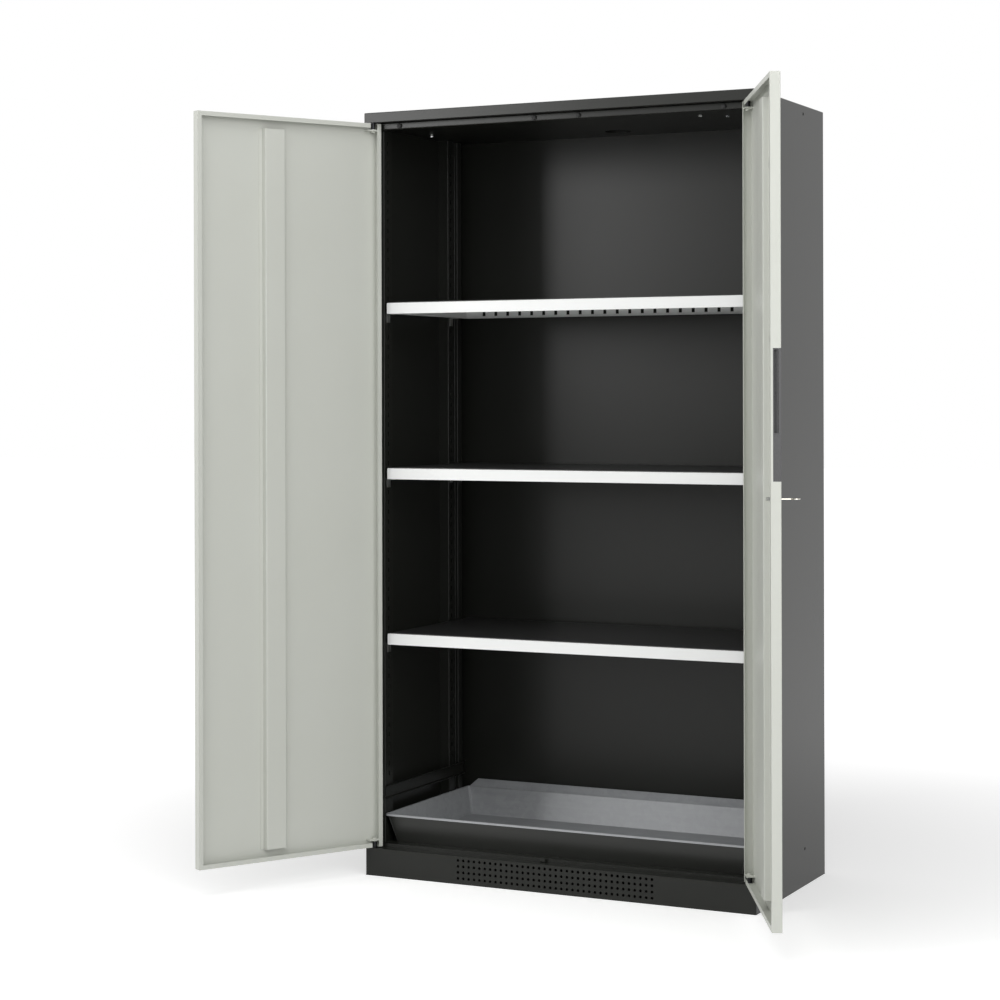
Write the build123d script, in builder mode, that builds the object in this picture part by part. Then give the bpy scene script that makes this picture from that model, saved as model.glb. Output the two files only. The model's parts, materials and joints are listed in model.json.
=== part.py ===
from build123d import *
from math import hypot
import os

os.makedirs("parts", exist_ok=True)

# Chemical storage cabinet with two wing doors, all sizes in mm.
# X runs to the right, Y to the back, Z up; the origin is the middle of the footprint on the floor.

# Carcass
cabinet_width = 1055
cabinet_depth = 520
cabinet_height = 1950
carcass_sheet = 1.5
bend_inside = 1
base_sheet = 2
base_leg = 40
plinth_height = 70
cap_height = 25
cap_side_skirt = 14
cap_edge_inside = 0.5
cap_floor_gap = 0.5
front_return = 30.5
front_lip = 12
rear_return = 20
floor_rise = 8
floor_flange = 18
ceiling_drop = 32
ceiling_flange = 5.5
front_gap = 0.5
rail_height = 17
link_hole_radius = 4
link_hole_from_back = 160.5
link_hole_from_floor = 92.5
link_hole_from_top = 22

# Plinth perforation
hole_radius = 3.5
hole_pitch = 15
hole_side_margin = 262
hole_edge_margin = 11
hole_mid_rise = 2.5

# Doors, standing open as in the rest pose
left_open_angle = 119.4
right_open_angle = 116.5
door_sheet = 1.2
door_depth = 23
door_face_inset = 1
door_gap = 3
meeting_gap = 4
door_side_inset = 2.5
door_lip = 11
hinge_lip = 11
door_edge_inside = 0.8
swing_clearance = 1.2

# Hinges
pin_from_side = 19.5
pin_from_front = 12
pin_radius = 4
pin_collar_rim = 1.5
pin_head_rim = 3
pin_head = 3
pin_end_gap = 0.5
hinge_plate_sheet = 5
hinge_plate_side_gap = 2
hinge_plate_front_gap = 1.5
hinge_notch = 16
notch_reach = 14
notch_back = 6
bracket_sheet = 3
bracket_reach = 20
bracket_inset = 1
bush_wall = 2
bush_tail = 4
bush_collar_rim = 3
bush_collar = 2
running_clearance = 0.05
seat_gap = 0.3

# Door stiffener
hat_middle = 287
hat_width = 60
hat_slope = 3
hat_height = 15
hat_flange = 9
hat_end_gap = 27
hat_top_gap = 31
hat_bend_inside = 0.8

# Recessed grip in the free edge of the right door
grip_from_lock = 39
grip_length = 287
grip_reach = 44
grip_depth = 18
grip_fit = 0.2
grip_wall = 3
grip_back = 2.2
grip_ledge_rise = 104
bar_width = 6.3
bar_depth = 6
panel_recess = 1.2
panel_margin = 4
panel_rib_rises = (63, 102)
panel_rib = 1.8

# Lock, turned by a key, and the rods it drives
lock_from_edge = 45
lock_height = 1002
rosette_radius = 12.5
rosette = 3
barrel_radius = 9.4
barrel_hole_gap = 0.1
barrel_length = 6.8
nut_radius = 15
nut_height = 4
plug_radius = 6
plug_proud = 0.4
cam_gap = 0.4
cam_sheet = 3
cam_rim = 1.7
drive_pin_radius = 2.5
drive_pin_proud = 1
boss_radius = 4
boss_proud = 4.3
key_sheet = 2.2
key_blade = 8
key_reach = 22
key_bow_length = 21
key_bow_width = 24
key_ring_radius = 4
keyway_gap = 0.3
keyway_depth = 9
rod_throw = 16
rod_width = 12
rod_sheet = 3
rod_front = 1
rod_offset = 14
rod_tail = 7
rod_tip_gap = 0.5
rod_notch_end_play = 0.7
rod_notch_play = 0.6
rod_guide_gap = 0.2
rod_slot_gap = 1.5
guide_width = 20
guide_height = 16
guide_cover = 2.5
guide_from_grip = 20
guide_from_lock = 326
guide_from_end = 194
strike_sheet = 2
strike_width = 44
strike_depth = 20

# Slotted uprights
post_front_gap = 16
front_post_width = 40
rear_post_width = 78
rear_post_gap = 31
groove_start = 30
groove_width = 24
groove_depth = 10
slot_width = 5
slot_height = 12
slot_pitch = 25
first_slot_rise = 174
last_slot_gap = 30
rear_slot_inset = 15

# Shelves and their clips
shelf_slots = (13, 30, 47)
shelf_sheet = 1.2
shelf_height = 28
shelf_side_gap = 10
shelf_front_gap = 11
shelf_rear_gap = 22
shelf_return = 12
shelf_edge_inside = 0.8
shelf_slot_margin = 50
shelf_slot_pitch = 36
shelf_slot_width = 9
shelf_slot_height = 16
clip_sheet = 2
clip_width = 14
clip_height = 22
clip_rise = 10
clip_reach = 8
tooth_width = 4
tooth_height = 10
tooth_reach = 5
mat_thickness = 2
mat_inset = 3
mat_corner = 6

# Sump and the rails above it
sump_sheet = 1.5
sump_height = 74
sump_side_gap = 2.5
sump_front_gap = 8
sump_rear_gap = 7
sump_taper = 18
sump_rim = 3.5
sump_rim_height = 5
sump_corner = 8
upstand_height = 22
upstand_slope = 34
side_rail_gap = 16
side_rail_height = 32
side_rail_reach = 9
side_rail_end_gap = 2

# Air outlet on the cap
spigot_from_back = 100
spigot_radius = 37.5
spigot_wall = 2
spigot_rise = 40
spigot_flange_rim = 17.5
spigot_flange = 2
spigot_gap = 0.5
spigot_screw_rim = 9.5
spigot_screw_count = 4
screw_head_radius = 3.5
screw_head = 2.2

# Small fittings
ceiling_screw_from_side = 15
ceiling_screw_y = 24
inner_ceiling_screws = ((178, -70), (121, -29))
ceiling_screw_radius = 6
ceiling_screw_head = 4
buffer_radius = 6
buffer_height = 5.7
buffer_from_rail_top = 9
buffer_from_side = 57
buffer_from_middle = 60
stop_x = -40
stop_width = 14
stop_height = 10
stop_rear_gap = 1.2

# Places that follow from the sizes
half_width = cabinet_width / 2
half_depth = cabinet_depth / 2
bend_radius = bend_inside + carcass_sheet
cap_edge_radius = cap_edge_inside + carcass_sheet
side_inner = half_width - carcass_sheet
clear_half = half_width - front_return
back_inner = half_depth - 2 * carcass_sheet
cap_bottom = cabinet_height - cap_height
side_top = cabinet_height - cap_side_skirt
cap_floor_top = cap_bottom + carcass_sheet
sill_bottom = plinth_height - carcass_sheet
floor_height = plinth_height + floor_rise
ceiling_height = cabinet_height - ceiling_drop
hole_columns = int((cabinet_width - 2 * hole_side_margin) // hole_pitch) + 1
hole_rows = int((plinth_height - 2 * hole_edge_margin) // hole_pitch) + 1
link_hole_y = half_depth - link_hole_from_back
spigot_y = half_depth - spigot_from_back

pin_x = half_width - pin_from_side
pin_y = pin_from_front - half_depth
hinge_edge = door_side_inset - pin_from_side
free_edge = pin_x - meeting_gap / 2
door_outer = door_face_inset - pin_from_front
door_inner = door_outer + door_depth
door_bottom = plinth_height + door_gap
door_top = cap_bottom - door_gap
door_width = free_edge - hinge_edge
door_height = door_top - door_bottom
swing_radius = hypot(hinge_edge, max(door_inner, -door_outer))
side_front = pin_y + swing_radius + swing_clearance
closed_lip = pin_y + door_inner
door_edge_radius = door_edge_inside + door_sheet
hat_bend = hat_bend_inside + door_sheet
pin_collar_radius = pin_radius + pin_collar_rim
pin_head_radius = pin_radius + pin_head_rim
bush_radius = pin_radius + bush_wall
bush_collar_radius = bush_radius + bush_collar_rim

rail_front = closed_lip + buffer_height + seat_gap
lip_end = side_front + front_lip
left_frame = Plane(origin=(-pin_x, pin_y, 0)).rotated((0, 0, -left_open_angle))
right_frame = Plane(origin=(pin_x, pin_y, 0)).rotated((0, 0, right_open_angle))


def finish(piece, name):
    """Give a piece its name and write it."""
    piece.part.label = name
    export_step(piece.part, f"parts/{name}.step")


def upright_plane(y):
    """Plane across the cabinet at a depth, with X to the right and Z up."""
    return Plane.XZ.offset(-y)


def door_plane(frame, depth):
    """Plane of a door at a depth behind its pins, facing out, with Z up."""
    return Plane(
        origin=frame.from_local_coords((0, depth, 0)),
        x_dir=frame.x_dir,
        z_dir=-frame.y_dir,
    )


def folded(plane, points, side, thickness, radius):
    """Section of a folded sheet, drawn along one of its faces."""
    with BuildSketch(plane) as section:
        with BuildLine():
            FilletPolyline(*points, radius=radius)
            offset(amount=thickness, side=side)
        make_face()
    return section.sketch


# Base frame that the panels stand on
with BuildPart() as base_frame:
    with BuildSketch():
        Rectangle(cabinet_width, cabinet_depth)
        Rectangle(cabinet_width - 2 * base_leg, cabinet_depth - 2 * base_leg, mode=Mode.SUBTRACT)
    extrude(amount=base_sheet)
finish(base_frame, "base_frame")

# Side panels with a folded front return and two link holes
with BuildPart() as right_side_panel:
    section = folded(
        Plane.XY.offset(base_sheet),
        (
            (clear_half, lip_end),
            (clear_half, side_front),
            (half_width, side_front),
            (half_width, half_depth),
            (half_width - rear_return, half_depth),
        ),
        Side.LEFT,
        carcass_sheet,
        bend_radius,
    )
    extrude(section, amount=side_top - base_sheet)
    with BuildSketch(Plane.YZ.offset(half_width)):
        with Locations(
            (link_hole_y, link_hole_from_floor),
            (link_hole_y, cabinet_height - link_hole_from_top),
        ):
            Circle(link_hole_radius)
    extrude(amount=-2 * carcass_sheet, mode=Mode.SUBTRACT)
finish(right_side_panel, "right_side_panel")

with BuildPart() as left_side_panel:
    mirror(right_side_panel.part, about=Plane.YZ)
finish(left_side_panel, "left_side_panel")

# Back panel in front of the rear returns
with BuildPart() as back_panel:
    with BuildSketch(upright_plane(back_inner)):
        with Locations((0, base_sheet)):
            Rectangle(
                2 * (side_inner - bend_radius),
                side_top - base_sheet,
                align=(Align.CENTER, Align.MIN),
            )
    extrude(amount=-carcass_sheet)
finish(back_panel, "back_panel")

# Cap: a lid whose front is a channel for the upper pins
upper_rod_x = pin_x - (free_edge - lock_from_edge - rod_offset)
lower_rod_x = pin_x - (free_edge - lock_from_edge + rod_offset)
rod_y = pin_y + rod_front + rod_sheet / 2

with BuildPart() as top_cap:
    with BuildSketch(Plane.XY.offset(cap_bottom)):
        RectangleRounded(cabinet_width, cabinet_depth, bend_radius)
    extrude(amount=cap_height)
    fillet(top_cap.faces().sort_by(Axis.Z)[-1].edges(), cap_edge_radius)
    offset(amount=-carcass_sheet, openings=top_cap.faces().sort_by(Axis.Z)[0])
    with BuildSketch(Plane.XY.offset(cap_bottom)):
        with Locations((0, side_front)):
            Rectangle(cabinet_width, cabinet_depth, align=(Align.CENTER, Align.MIN))
    extrude(amount=side_top - cap_bottom, mode=Mode.SUBTRACT)
    with BuildSketch(Plane.XY.offset(cap_bottom)):
        with Locations((0, side_front - cap_floor_gap)):
            Rectangle(
                2 * side_inner,
                side_front - cap_floor_gap + half_depth - carcass_sheet,
                align=(Align.CENTER, Align.MAX),
            )
        with Locations((-pin_x, pin_y), (pin_x, pin_y)):
            Circle(pin_radius + running_clearance, mode=Mode.SUBTRACT)
        with Locations((upper_rod_x, rod_y)):
            Rectangle(
                rod_width + 2 * rod_slot_gap, rod_sheet + 2 * rod_slot_gap, mode=Mode.SUBTRACT
            )
    extrude(amount=carcass_sheet)
    with BuildSketch(Plane.XY.offset(cabinet_height)):
        with Locations((0, spigot_y)):
            Circle(spigot_radius + spigot_gap)
    extrude(amount=-2 * carcass_sheet, mode=Mode.SUBTRACT)
finish(top_cap, "top_cap")

# Ceiling of the inside, open to the air outlet
with BuildPart() as ceiling_panel:
    section = folded(
        upright_plane(lip_end + front_gap),
        (
            (-side_inner, ceiling_height + ceiling_flange),
            (-side_inner, ceiling_height),
            (side_inner, ceiling_height),
            (side_inner, ceiling_height + ceiling_flange),
        ),
        Side.LEFT,
        carcass_sheet,
        bend_radius,
    )
    extrude(section, amount=lip_end + front_gap - back_inner)
    with BuildSketch(Plane.XY.offset(ceiling_height)):
        with Locations((0, spigot_y)):
            Circle(spigot_radius + spigot_gap)
    extrude(amount=2 * carcass_sheet, mode=Mode.SUBTRACT)
finish(ceiling_panel, "ceiling_panel")

# Rail set back under the cap, which the doors close against
with BuildPart() as top_front_rail:
    section = folded(
        Plane.YZ.offset(-clear_half),
        (
            (lip_end, cap_bottom),
            (rail_front, cap_bottom),
            (rail_front, cap_bottom - rail_height),
            (lip_end, cap_bottom - rail_height),
        ),
        Side.LEFT,
        carcass_sheet,
        bend_radius,
    )
    extrude(section, amount=2 * clear_half)
finish(top_front_rail, "top_front_rail")

# Plinth: a perforated panel folded round the front
with BuildPart() as plinth_panel:
    section = folded(
        Plane.XY.offset(base_sheet),
        (
            (-half_width, side_front),
            (-half_width, -half_depth),
            (half_width, -half_depth),
            (half_width, side_front),
        ),
        Side.LEFT,
        carcass_sheet,
        bend_radius,
    )
    extrude(section, amount=plinth_height - base_sheet)
    with BuildSketch(upright_plane(-half_depth)):
        with Locations((0, plinth_height / 2 + hole_mid_rise)):
            with GridLocations(hole_pitch, hole_pitch, hole_columns, hole_rows):
                Circle(hole_radius)
    extrude(amount=-2 * carcass_sheet, mode=Mode.SUBTRACT)
finish(plinth_panel, "plinth_panel")

# Sill on the plinth, which holds the lower pins
with BuildPart() as sill_plate:
    with BuildSketch(Plane.XY.offset(sill_bottom)):
        with Locations((0, side_front)):
            Rectangle(
                2 * (side_inner - bend_radius),
                side_front + half_depth - carcass_sheet,
                align=(Align.CENTER, Align.MAX),
            )
        with Locations((-pin_x, pin_y), (pin_x, pin_y)):
            Circle(pin_radius + running_clearance, mode=Mode.SUBTRACT)
        with Locations((lower_rod_x, rod_y)):
            Rectangle(
                rod_width + 2 * rod_slot_gap, rod_sheet + 2 * rod_slot_gap, mode=Mode.SUBTRACT
            )
    extrude(amount=carcass_sheet)
finish(sill_plate, "sill_plate")

# Floor of the inside, with a flange down behind the sill
with BuildPart() as floor_panel:
    with BuildSketch(Plane.XY.offset(floor_height - carcass_sheet)):
        with Locations((0, back_inner)):
            Rectangle(
                2 * side_inner,
                back_inner - lip_end - front_gap,
                align=(Align.CENTER, Align.MAX),
            )
            Rectangle(2 * clear_half, back_inner - side_front, align=(Align.CENTER, Align.MAX))
    extrude(amount=carcass_sheet)
    with BuildSketch(Plane.XY.offset(floor_height - floor_flange)):
        with Locations((0, side_front)):
            Rectangle(2 * clear_half, carcass_sheet, align=(Align.CENTER, Align.MIN))
    extrude(amount=floor_flange)
finish(floor_panel, "floor_panel")

# Slotted uprights on the side walls
first_slot = floor_height + first_slot_rise
slot_room = ceiling_height - last_slot_gap - first_slot
slot_count = int(slot_room // slot_pitch) + 1
front_post_y = side_front + post_front_gap
rear_post_y = back_inner - rear_post_gap - rear_post_width
front_slot_y = front_post_y + front_post_width / 2
rear_slot_y = rear_post_y + rear_slot_inset


def slot_column(y):
    """A column of slots in the face of an upright."""
    with BuildSketch(Plane.YZ.offset(clear_half)) as column:
        with Locations((y, first_slot + (slot_count - 1) * slot_pitch / 2)):
            with GridLocations(slot_width, slot_pitch, 1, slot_count):
                Rectangle(slot_width, slot_height)
    return column.sketch


with BuildPart() as front_right_upright:
    section = folded(
        Plane.XY.offset(floor_height),
        (
            (side_inner, front_post_y),
            (clear_half, front_post_y),
            (clear_half, front_post_y + front_post_width),
            (side_inner, front_post_y + front_post_width),
        ),
        Side.RIGHT,
        carcass_sheet,
        bend_radius,
    )
    extrude(section, amount=ceiling_height - floor_height)
    extrude(slot_column(front_slot_y), amount=2 * carcass_sheet, mode=Mode.SUBTRACT)
finish(front_right_upright, "front_right_upright")

with BuildPart() as front_left_upright:
    mirror(front_right_upright.part, about=Plane.YZ)
finish(front_left_upright, "front_left_upright")

with BuildPart() as rear_right_upright:
    groove_y = rear_post_y + groove_start
    section = folded(
        Plane.XY.offset(floor_height),
        (
            (side_inner, rear_post_y),
            (clear_half, rear_post_y),
            (clear_half, groove_y),
            (clear_half + groove_depth, groove_y),
            (clear_half + groove_depth, groove_y + groove_width),
            (clear_half, groove_y + groove_width),
            (clear_half, rear_post_y + rear_post_width),
            (side_inner, rear_post_y + rear_post_width),
        ),
        Side.RIGHT,
        carcass_sheet,
        bend_radius,
    )
    extrude(section, amount=ceiling_height - floor_height)
    extrude(slot_column(rear_slot_y), amount=2 * carcass_sheet, mode=Mode.SUBTRACT)
finish(rear_right_upright, "rear_right_upright")

with BuildPart() as rear_left_upright:
    mirror(rear_right_upright.part, about=Plane.YZ)
finish(rear_left_upright, "rear_left_upright")

# Shelves with folded edges and a slotted rear edge, each on four clips
shelf_half = clear_half - shelf_side_gap
shelf_radius = shelf_edge_inside + shelf_sheet
shelf_slot_count = int(2 * (shelf_half - shelf_slot_margin) // shelf_slot_pitch) + 1
shelf_front = side_front + shelf_front_gap
shelf_rear = back_inner - shelf_rear_gap
shelf_mid = (shelf_front + shelf_rear) / 2
shelf_depth = shelf_rear - shelf_front


def make_shelf(bottom):
    """Tray upside down, its edges folded in below."""
    with BuildPart() as shelf:
        with BuildSketch(Plane.XY.offset(bottom)):
            with Locations((0, shelf_mid)):
                Rectangle(2 * shelf_half, shelf_depth)
        extrude(amount=shelf_height)
        fillet(shelf.faces().sort_by(Axis.Z)[-1].edges(), shelf_radius)
        offset(amount=-shelf_sheet, openings=shelf.faces().sort_by(Axis.Z)[0])
        with BuildSketch(Plane.XY.offset(bottom)):
            with Locations((0, shelf_mid)):
                Rectangle(2 * shelf_half, shelf_depth)
                Rectangle(
                    2 * (shelf_half - shelf_return),
                    shelf_depth - 2 * shelf_return,
                    mode=Mode.SUBTRACT,
                )
        extrude(amount=shelf_sheet)
        with BuildSketch(upright_plane(shelf_rear)):
            with Locations((0, bottom + shelf_height / 2)):
                with GridLocations(shelf_slot_pitch, shelf_height, shelf_slot_count, 1):
                    Rectangle(shelf_slot_width, shelf_slot_height)
        extrude(amount=2 * shelf_sheet, mode=Mode.SUBTRACT)
    return shelf


def make_clips(bottom):
    """Four angles hooked into the slots, each with a ledge for the shelf."""
    with BuildPart() as clips:
        for side in (-1, 1):
            face = side * clear_half
            ledge_end = side * (shelf_half - clip_reach)
            plate = face - side * clip_sheet
            for y in (front_slot_y, rear_slot_y):
                with BuildSketch(upright_plane(y)):
                    with BuildLine():
                        Polyline(
                            (face, bottom),
                            (ledge_end, bottom),
                            (ledge_end, bottom - clip_sheet),
                            (plate, bottom - clip_sheet),
                            (plate, bottom - clip_height),
                            (face, bottom - clip_height),
                            close=True,
                        )
                    make_face()
                extrude(amount=clip_width / 2, both=True)
                with BuildSketch(upright_plane(y)):
                    with Locations((face + side * tooth_reach / 2, bottom - clip_rise)):
                        Rectangle(tooth_reach, tooth_height)
                extrude(amount=tooth_width / 2, both=True)
    return clips


def make_mat(bottom):
    """Loose mat on the flat top of a shelf, for the bottles to stand on."""
    with BuildPart() as mat:
        with BuildSketch(Plane.XY.offset(bottom + shelf_height)):
            with Locations((0, shelf_mid)):
                RectangleRounded(
                    2 * (shelf_half - shelf_radius - mat_inset),
                    shelf_depth - 2 * (shelf_radius + mat_inset),
                    mat_corner,
                )
        extrude(amount=mat_thickness)
    return mat


for level, slot in zip(("lower", "middle", "upper"), shelf_slots):
    shelf_bottom = first_slot + slot * slot_pitch + clip_rise
    finish(make_shelf(shelf_bottom), f"{level}_shelf")
    finish(make_clips(shelf_bottom), f"{level}_shelf_clips")
    finish(make_mat(shelf_bottom), f"{level}_shelf_mat")

# Sump: a tapered tray with a hemmed rim and a rear upstand
sump_half = clear_half - sump_side_gap
sump_front = side_front + sump_front_gap
sump_rear = back_inner - sump_rear_gap
sump_mid = (sump_front + sump_rear) / 2
sump_depth = sump_rear - sump_front
sump_top = floor_height + sump_height
sump_mouth_width = 2 * (sump_half - sump_rim)
sump_mouth_depth = sump_depth - 2 * sump_rim

with BuildPart() as sump:
    with BuildSketch(Plane.XY.offset(floor_height)):
        with Locations((0, sump_mid)):
            RectangleRounded(
                sump_mouth_width - 2 * sump_taper, sump_mouth_depth - 2 * sump_taper, sump_corner
            )
    with BuildSketch(Plane.XY.offset(sump_top)):
        with Locations((0, sump_mid)):
            RectangleRounded(sump_mouth_width, sump_mouth_depth, sump_corner)
    loft()
    offset(amount=-sump_sheet, openings=sump.faces().sort_by(Axis.Z)[-1])
    with BuildSketch(Plane.XY.offset(sump_top - sump_rim_height)):
        with Locations((0, sump_mid)):
            RectangleRounded(2 * sump_half, sump_depth, sump_corner)
            RectangleRounded(
                sump_mouth_width - sump_sheet,
                sump_mouth_depth - sump_sheet,
                sump_corner,
                mode=Mode.SUBTRACT,
            )
    extrude(amount=sump_rim_height)
    with BuildSketch(upright_plane(sump_rear)):
        with BuildLine():
            Polyline(
                (sump_corner - sump_half, sump_top - sump_rim_height),
                (sump_half - sump_corner, sump_top - sump_rim_height),
                (sump_half - sump_corner, sump_top),
                (sump_half - upstand_slope, sump_top + upstand_height),
                (upstand_slope - sump_half, sump_top + upstand_height),
                (sump_corner - sump_half, sump_top),
                close=True,
            )
        make_face()
    extrude(amount=sump_sheet)
finish(sump, "sump")

# Rails on the uprights above the sump
side_rail_bottom = sump_top + upstand_height + side_rail_gap
rail_start = front_post_y - side_rail_end_gap
rail_end = rear_post_y + rear_post_width + side_rail_end_gap

with BuildPart() as right_side_rail:
    section = folded(
        upright_plane(rail_start),
        (
            (clear_half - side_rail_reach, side_rail_bottom + side_rail_height),
            (clear_half, side_rail_bottom + side_rail_height),
            (clear_half, side_rail_bottom),
            (clear_half - side_rail_reach, side_rail_bottom),
        ),
        Side.RIGHT,
        carcass_sheet,
        bend_radius,
    )
    extrude(section, amount=rail_start - rail_end)
finish(right_side_rail, "right_side_rail")

with BuildPart() as left_side_rail:
    mirror(right_side_rail.part, about=Plane.YZ)
finish(left_side_rail, "left_side_rail")

# Air outlet through the cap and the ceiling
with BuildPart() as exhaust_spigot:
    with BuildSketch(Plane.XY.offset(ceiling_height)):
        with Locations((0, spigot_y)):
            Circle(spigot_radius)
            Circle(spigot_radius - spigot_wall, mode=Mode.SUBTRACT)
    extrude(amount=cabinet_height + spigot_rise - ceiling_height)
    with BuildSketch(Plane.XY.offset(cabinet_height)):
        with Locations((0, spigot_y)):
            Circle(spigot_radius + spigot_flange_rim)
            Circle(spigot_radius - spigot_wall, mode=Mode.SUBTRACT)
    extrude(amount=spigot_flange)
finish(exhaust_spigot, "exhaust_spigot")

with BuildPart() as spigot_screws:
    with BuildSketch(Plane.XY.offset(cabinet_height + spigot_flange)):
        with Locations((0, spigot_y)):
            with PolarLocations(spigot_radius + spigot_screw_rim, spigot_screw_count):
                Circle(screw_head_radius)
    extrude(amount=screw_head)
finish(spigot_screws, "spigot_screws")

with BuildPart() as ceiling_screws:
    outer_screw = clear_half - ceiling_screw_from_side
    with BuildSketch(Plane.XY.offset(ceiling_height)):
        with Locations(
            (-outer_screw, ceiling_screw_y),
            (outer_screw, ceiling_screw_y),
            *[(clear_half - from_side, y) for from_side, y in inner_ceiling_screws],
        ):
            RegularPolygon(ceiling_screw_radius, 6)
    extrude(amount=-ceiling_screw_head)
finish(ceiling_screws, "ceiling_screws")

# Hinge plates and shoulder pins, in the cap and under the sill
upper_bracket_top = door_top - hinge_notch
lower_bracket_bottom = door_bottom + hinge_notch
upper_plate_top = cap_floor_top + hinge_plate_sheet
lower_plate_bottom = sill_bottom - hinge_plate_sheet
hinge_plate_width = 2 * (pin_from_side - carcass_sheet - hinge_plate_side_gap)
hinge_plate_depth = 2 * (pin_from_front - carcass_sheet - hinge_plate_front_gap)


def make_hinge_plates(bottom):
    """One plate per door, with a hole for its pin."""
    with BuildPart() as plates:
        with BuildSketch(Plane.XY.offset(bottom)):
            with Locations((-pin_x, pin_y), (pin_x, pin_y)):
                Rectangle(hinge_plate_width, hinge_plate_depth)
                Circle(pin_radius + running_clearance, mode=Mode.SUBTRACT)
        extrude(amount=hinge_plate_sheet)
    return plates


def make_pins(steps):
    """One stepped pin per door, given as radius, lower end and upper end."""
    with BuildPart() as pins:
        for radius, low, high in steps:
            with BuildSketch(Plane.XY.offset(low)):
                with Locations((-pin_x, pin_y), (pin_x, pin_y)):
                    Circle(radius)
            extrude(amount=high - low)
    return pins


upper_bush_bottom = upper_bracket_top - bracket_sheet - bush_tail
lower_bush_top = lower_bracket_bottom + bracket_sheet + bush_tail
finish(make_hinge_plates(cap_floor_top), "upper_hinge_plates")
finish(make_hinge_plates(lower_plate_bottom), "lower_hinge_plates")
finish(
    make_pins(
        (
            (pin_radius, upper_bush_bottom + pin_end_gap, upper_plate_top),
            (pin_collar_radius, upper_bracket_top + bush_collar + seat_gap, cap_bottom),
            (pin_head_radius, upper_plate_top, upper_plate_top + pin_head),
        )
    ),
    "upper_hinge_pins",
)
finish(
    make_pins(
        (
            (pin_head_radius, lower_plate_bottom - pin_head, lower_plate_bottom),
            (pin_radius, lower_plate_bottom, lower_bush_top - pin_end_gap),
            (pin_collar_radius, plinth_height, lower_bracket_bottom - bush_collar - seat_gap),
        )
    ),
    "lower_hinge_pins",
)


# Strike plates that the rods enter
def make_strike(x, bottom):
    """Plate with a slot for the end of a rod."""
    with BuildPart() as strike:
        with BuildSketch(Plane.XY.offset(bottom)):
            with Locations((x, rod_y)):
                Rectangle(strike_width, strike_depth)
                Rectangle(
                    rod_width + 2 * rod_slot_gap,
                    rod_sheet + 2 * rod_slot_gap,
                    mode=Mode.SUBTRACT,
                )
        extrude(amount=strike_sheet)
    return strike


finish(make_strike(upper_rod_x, cap_floor_top), "upper_rod_strike")
finish(make_strike(lower_rod_x, sill_bottom - strike_sheet), "lower_rod_strike")

# Rubber buffers on the rail, and a stop on the sill for the left door
with BuildPart() as door_buffers:
    outer_buffer = clear_half - buffer_from_side
    buffer_columns = (-outer_buffer, -buffer_from_middle, buffer_from_middle, outer_buffer)
    with BuildSketch(upright_plane(rail_front)):
        with Locations(*[(x, cap_bottom - buffer_from_rail_top) for x in buffer_columns]):
            Circle(buffer_radius)
    extrude(amount=buffer_height)
finish(door_buffers, "door_buffers")

with BuildPart() as left_door_stop:
    stop_front = closed_lip + seat_gap
    section = folded(
        Plane.YZ.offset(stop_x),
        (
            (stop_front, plinth_height + stop_height),
            (stop_front, plinth_height),
            (side_front - stop_rear_gap, plinth_height),
        ),
        Side.LEFT,
        carcass_sheet,
        bend_radius,
    )
    extrude(section, amount=stop_width / 2, both=True)
finish(left_door_stop, "left_door_stop")


# Doors: trays folded from one sheet. Along the door, X is counted from the pin
# and times hand gives the free edge; Y is the depth behind the pin.
def make_tray(frame, hand):
    """Skin, four edges, lips behind them and the open hinge corners."""
    middle = hand * (free_edge + hinge_edge) / 2
    mid_height = (door_bottom + door_top) / 2
    window = free_edge - door_lip - hinge_edge - hinge_lip
    window_mid = hand * (free_edge - door_lip + hinge_edge + hinge_lip) / 2
    outward = Axis(frame.origin, -frame.y_dir)
    with BuildPart() as tray:
        with BuildSketch(door_plane(frame, door_inner)):
            with Locations((middle, mid_height)):
                Rectangle(door_width, door_height)
        extrude(amount=door_depth)
        fillet(tray.faces().sort_by(outward)[-1].edges(), door_edge_radius)
        offset(amount=-door_sheet, openings=tray.faces().sort_by(outward)[0])
        with BuildSketch(door_plane(frame, door_inner)):
            with Locations((middle, mid_height)):
                Rectangle(door_width, door_height)
            with Locations((window_mid, mid_height)):
                Rectangle(window, door_height - 2 * door_lip, mode=Mode.SUBTRACT)
        extrude(amount=door_sheet)
        for low in (door_bottom, door_top - hinge_notch):
            with BuildSketch(frame.offset(low)):
                with Locations((hand * (notch_reach - notch_back) / 2, door_inner)):
                    Rectangle(
                        notch_reach + notch_back,
                        door_inner + notch_back,
                        align=(Align.CENTER, Align.MAX),
                    )
            extrude(amount=hinge_notch, mode=Mode.SUBTRACT)
    return tray


def make_stiffener(frame, hand):
    """Hat section on the inside of the skin."""
    skin = door_outer + door_sheet
    foot = hat_width / 2
    crown = foot - hat_slope
    with BuildPart() as hat:
        section = folded(
            frame.offset(door_bottom + hat_end_gap),
            [
                (hand * (hat_middle + along), skin + rise)
                for along, rise in (
                    (-foot - hat_flange, 0),
                    (-foot, 0),
                    (-crown, hat_height - door_sheet),
                    (crown, hat_height - door_sheet),
                    (foot, 0),
                    (foot + hat_flange, 0),
                )
            ],
            Side.LEFT if hand > 0 else Side.RIGHT,
            door_sheet,
            hat_bend,
        )
        extrude(section, amount=door_height - hat_end_gap - hat_top_gap)
    return hat


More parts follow.
